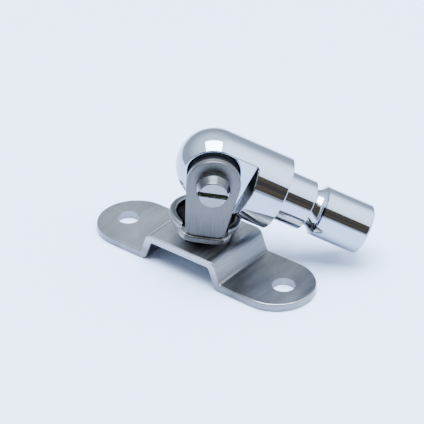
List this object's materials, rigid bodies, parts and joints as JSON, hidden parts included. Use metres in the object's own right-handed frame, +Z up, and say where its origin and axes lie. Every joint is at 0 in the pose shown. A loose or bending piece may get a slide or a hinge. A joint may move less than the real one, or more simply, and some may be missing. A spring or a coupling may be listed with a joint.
{
  "type": "casement window stay",
  "caption": "End bracket of a casement window stay: a hat-shaped screw plate, a swivelling and rocking cup with one ear, a hinged domed knuckle and a turning rod socket.",
  "frame": {"origin": "midway between the two screw holes, on the mounting plane, under the swivel rivet", "axes": "+X along the plate from one screw hole to the other, +Z up from the mounting face along the swivel rivet, +Y across the plate"},
  "size_m": [0.0654, 0.039, 0.0348],
  "materials": {
    "plate_steel": "satin",
    "cup_steel": "satin, faint vertical grain",
    "rivet_steel": "satin",
    "screw_steel": "turned, bright",
    "spring_steel": "dark, oiled",
    "knuckle_chrome": "polished chrome plate",
    "bush_brass": "turned",
    "black_rubber": "matt",
    "black_nylon": "matt"
  },
  "bodies": {
    "base": {"base_plate": "plate_steel", "swivel_rivet": "rivet_steel", "rivet_washer": "rivet_steel"},
    "swivel": {"lower_cushion": "black_rubber", "upper_cushion": "black_rubber"},
    "clevis": {"clevis_cup": "cup_steel", "pivot_screw": "screw_steel", "friction_washer_near": "black_nylon", "friction_washer_far": "black_nylon", "pivot_lock_washer": "rivet_steel", "pivot_nut": "screw_steel"},
    "knuckle": {"knuckle_body": "knuckle_chrome", "pivot_bush": "bush_brass", "gland_collar": "knuckle_chrome"},
    "socket": {"rod_socket": "knuckle_chrome", "spindle_washer": "black_nylon", "spindle_circlip": "spring_steel"}
  },
  "joints": [
    {"name": "swivel", "type": "hinge", "parent": "base", "child": "swivel", "pos_m": [0, 0, 0.00955], "axis": [0, 0, 1], "continuous": true},
    {"name": "rock", "type": "hinge", "parent": "swivel", "child": "clevis", "pos_m": [0, 0, 0.00955], "axis": [0.6018, -0.7986, 0], "range_deg": [0, 17]},
    {"name": "hinge", "type": "hinge", "parent": "clevis", "child": "knuckle", "pos_m": [0.00194, 0.00146, 0.02577], "axis": [0.6018, -0.7986, 0], "range_deg": [0, 215]},
    {"name": "spin", "type": "hinge", "parent": "knuckle", "child": "socket", "pos_m": [0.01945, 0.01466, 0.01507], "axis": [0.7178, 0.5409, -0.4384], "continuous": true}
  ]
}
